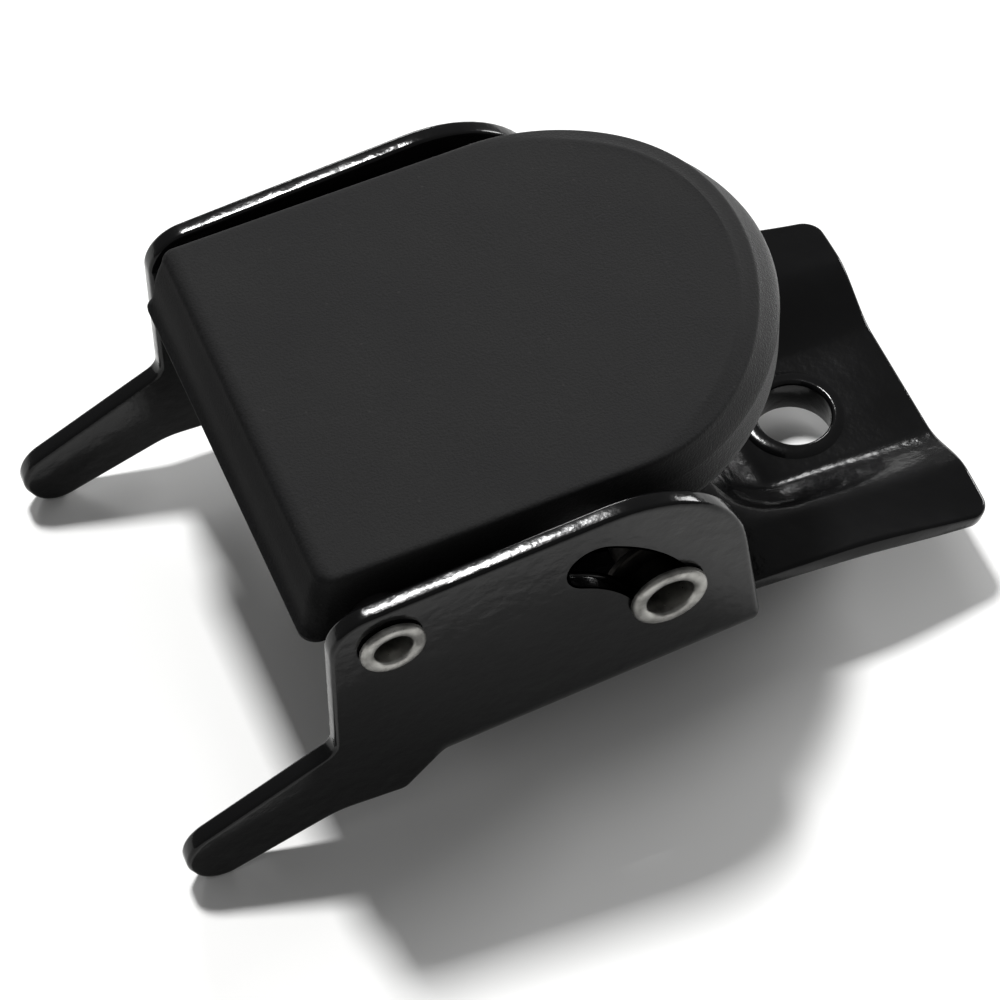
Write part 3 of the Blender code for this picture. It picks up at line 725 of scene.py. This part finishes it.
# Each rim level: the same shares, height and inset along the sides, then round the nose, and bead.
rim_levels = (
    (0.09, 0.09, 0.08, (7.4, 0), (7.15, 0), 0), (0.07, 0.07, 0.05, (7.6, 0.02), (7.3, 0.03), 0),
    (0.05, 0.05, 0.03, (7.8, 0.08), (7.42, 0.11), 0), (0.03, 0.03, 0.01, (7.95, 0.2), (7.5, 0.24), 0),
    (0, 0, 0, (8.03, 0.34), (7.55, 0.4), 0), (0, 0, 0, (8.07, 0.5), (7.7, 0.95), 0),
    (0, 0, 0, (8.09, 0.7), (7.85, 1.45), 0.1), (0, 0, 0, (PAD_TOP, 1.0), (7.98, 1.85), 0.6),
    (0, 0, 0, (PAD_TOP, 1.35), (8.05, 2.1), 1.0), (0, 0, 0, (PAD_TOP, 1.8), (8.08, 2.35), 0.5),
    (0, 0, 0, (PAD_TOP, 2.3), (PAD_TOP, 2.7), 0), (0, 0, 0, (PAD_TOP, 3.2), (PAD_TOP, 3.4), 0),
)
rings = []
for end, side, nose, straight, curved, bead in rim_levels[::-1]:
    rings.append(pad_ring(DRAFT_LEFT * end, DRAFT_SIDE * side, DRAFT_NOSE * nose, straight, curved,
                          bead=RIM_BEAD * bead))
for end, side, nose, z, depth in wall_levels[::-1]:
    rings.append(pad_ring(DRAFT_LEFT * end, DRAFT_SIDE * side, DRAFT_NOSE * nose,
                          (z, depth), (z, depth)))
for z, left, depth in ((PAD_BOTTOM, -5.9, CAVITY_WALL), (CAVITY_TOP, -3.7, CAVITY_WALL),
                       (CAVITY_TOP, -2.7, CAVITY_WALL + 1.0)):
    rings.append(pad_ring(0, 0, 0, (z, depth), (z, depth), left, (0.5, 0.5)))
pad = stacked("moulded_pad", rings)


def cut_out(piece, tool, sharp):
    """Takes the tool's shape out of the piece and removes the tool."""
    step = piece.modifiers.new("cut", "BOOLEAN")
    step.operation = "DIFFERENCE"
    step.solver = "EXACT"
    step.object = tool
    bpy.context.view_layer.update()
    cut = bpy.data.meshes.new_from_object(piece.evaluated_get(bpy.context.evaluated_depsgraph_get()))
    piece.modifiers.clear()
    piece.data = cut
    bpy.data.objects.remove(tool)
    cut.shade_smooth()
    cut.set_sharp_from_angle(angle=math.radians(sharp))


notch = arc((0.0, 0.0), NOTCH_RADIUS, 0, 180, 36) + [(-NOTCH_RADIUS, -4.0), (NOTCH_RADIUS, -4.0)]
cut_out(pad, stacked("notch", [[(x, y, z) for x, z in notch] for y in (-HALF_WIDTH, HALF_WIDTH)]), 32.0)


# Moulded rubber: carbon filled and matt, spark eroded to a fine grain of about 0.3 mm. It spreads
# light widely and dust lies on it unevenly. A sheen painted on towards the nose stands in for light on
# the nose wall, and a weaker specular at the hinge end paints shade on the end wall.
def moulded_rubber():
    material, tree = new_material("moulded_black_rubber")
    place = add(tree, "ShaderNodeTexCoord", {})
    grain = add(tree, "ShaderNodeTexNoise", {"Scale": per_mm(0.28), "Detail": 3.0, "Roughness": 0.65},
                [("Vector", place, "Object")])
    bloom = add(tree, "ShaderNodeTexNoise", {"Scale": per_mm(12.0), "Detail": 4.0, "Roughness": 0.6},
                [("Vector", place, "Object")])
    specks = add(tree, "ShaderNodeTexVoronoi", {"Scale": per_mm(2.6)}, [("Vector", place, "Object")])
    dust = add(tree, "ShaderNodeMapRange",
               {"From Min": 0.035, "From Max": 0.075, "To Min": 1.0, "To Max": 0.0},
               [("Value", specks, "Distance")])
    tone = add(tree, "ShaderNodeValToRGB", {}, [("Fac", bloom, "Fac")])
    tone.color_ramp.elements[0].position = 0.3
    tone.color_ramp.elements[0].color = linear("#0c0c0d")
    tone.color_ramp.elements[1].position = 0.75
    tone.color_ramp.elements[1].color = linear("#111111")
    grit = add(tree, "ShaderNodeMapRange",
               {"From Min": 0.35, "From Max": 0.7, "To Min": 0.5, "To Max": 1.7},
               [("Value", grain, "Fac")])
    grained = add(tree, "ShaderNodeVectorMath", {"operation": "SCALE"},
                  [(0, tone, "Color"), ("Scale", grit, "Result")])
    dusted = add(tree, "ShaderNodeMix", {"data_type": "RGBA", 7: linear("#2a2928")}, [(6, grained, 0)])
    share = add(tree, "ShaderNodeMath", {"operation": "MULTIPLY", 1: 0.5}, [(0, dust, "Result")])
    tree.links.new(share.outputs[0], dusted.inputs[0])
    bump = add(tree, "ShaderNodeBump", {"Strength": 0.9, "Distance": 0.0001}, [("Height", grain, "Fac")])
    sheen = add(tree, "ShaderNodeMapRange", {"To Min": 0.72, "To Max": 0.86}, [("Value", grain, "Fac")])
    axes = add(tree, "ShaderNodeSeparateXYZ", {}, [("Vector", place, "Object")])
    # Painted sheen: the sheen weight rises towards the nose, standing in for the light on the nose wall.
    painted_sheen_towards_nose = add(tree, "ShaderNodeMapRange",
               {"From Min": -0.02, "From Max": 0.015, "To Min": 0.0, "To Max": 0.3},
               [("Value", axes, "X")])
    # Painted shade: the specular level drops at the hinge end, so the end wall reflects less and looks
    # darker.
    painted_shade_at_hinge_end = add(tree, "ShaderNodeMapRange",
               {"From Min": hinge.x - 0.0062, "From Max": hinge.x - 0.0042,
                "To Min": 0.08, "To Max": 0.27},
               [("Value", axes, "X")])
    shader = add(tree, "ShaderNodeBsdfPrincipled", {"IOR": 1.45, "Sheen Roughness": 0.3},
                 [("Base Color", dusted, 2), ("Roughness", sheen, "Result"), ("Normal", bump, "Normal"),
                  ("Sheen Weight", painted_sheen_towards_nose, "Result"), ("Specular IOR Level", painted_shade_at_hinge_end, "Result")])
    add(tree, "ShaderNodeOutputMaterial", {}, [("Surface", shader, "BSDF")])
    return material


pad.data.materials.append(moulded_rubber())
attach(pad, "pad_lever")
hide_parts("rubber_pad")

# ---- Floor, lights and camera --------------------------------------------------------------------
# A pale seamless studio floor, a small softbox high behind the bracket, two low ones behind it and on
# the tail side, and a weak even fill.
floor_mesh = bpy.data.meshes.new("studio_floor")
floor_z = cad_box[0].z
corners = [(x, y, floor_z) for x, y in ((-2.0, -2.0), (2.0, -2.0), (2.0, 2.0), (-2.0, 2.0))]
floor_mesh.from_pydata(corners, [], [(0, 1, 2, 3)])
floor = bpy.data.objects.new("studio_floor", floor_mesh)
bpy.context.scene.collection.objects.link(floor)


def studio_paper():
    material, tree = new_material("studio_paper")
    shader = add(tree, "ShaderNodeBsdfPrincipled",
                 {"Base Color": linear("#f2f2f1"), "Roughness": 0.9, "IOR": 1.3})
    add(tree, "ShaderNodeOutputMaterial", {}, [("Surface", shader, "BSDF")])
    return material


floor_mesh.materials.append(studio_paper())


def softbox(name, direction, distance, width, height, power):
    """Rectangular area light aimed at the bracket's middle."""
    lamp = bpy.data.lights.new(name, "AREA")
    lamp.shape = "RECTANGLE"
    lamp.size = width
    lamp.size_y = height
    lamp.energy = power
    holder = bpy.data.objects.new(name, lamp)
    bpy.context.scene.collection.objects.link(holder)
    holder.location = at((25.0, 0.0, -10.0)) + Vector(direction).normalized() * distance
    holder.rotation_euler = Vector(direction).to_track_quat("Z", "Y").to_euler()


softbox("key_softbox", (-0.005, 0.47, 0.88), 1.2, 0.16, 0.17, 16.0)
softbox("back_softbox", (0.2, 0.93, 0.3), 1.2, 0.3, 0.2, 4.0)
softbox("tail_softbox", (0.92, 0.3, 0.28), 1.2, 0.4, 0.3, 9.0)

world = bpy.data.worlds.new("studio_fill")
world.use_nodes = True
world.node_tree.nodes["Background"].inputs["Color"].default_value = linear("#ffffff")
world.node_tree.nodes["Background"].inputs["Strength"].default_value = 0.22
bpy.context.scene.world = world
bpy.context.scene.view_settings.view_transform = "Standard"

camera_data = bpy.data.cameras.new("view")
camera_data.lens = 139.13
camera_data.sensor_width = 36.0
camera_data.dof.use_dof = False
camera = bpy.data.objects.new("view", camera_data)
bpy.context.scene.collection.objects.link(camera)
camera.location = at((-76.9, -242.84, 343.71))
camera.rotation_euler = (math.radians(35.521), 0.0, math.radians(-22.746))
bpy.context.scene.camera = camera
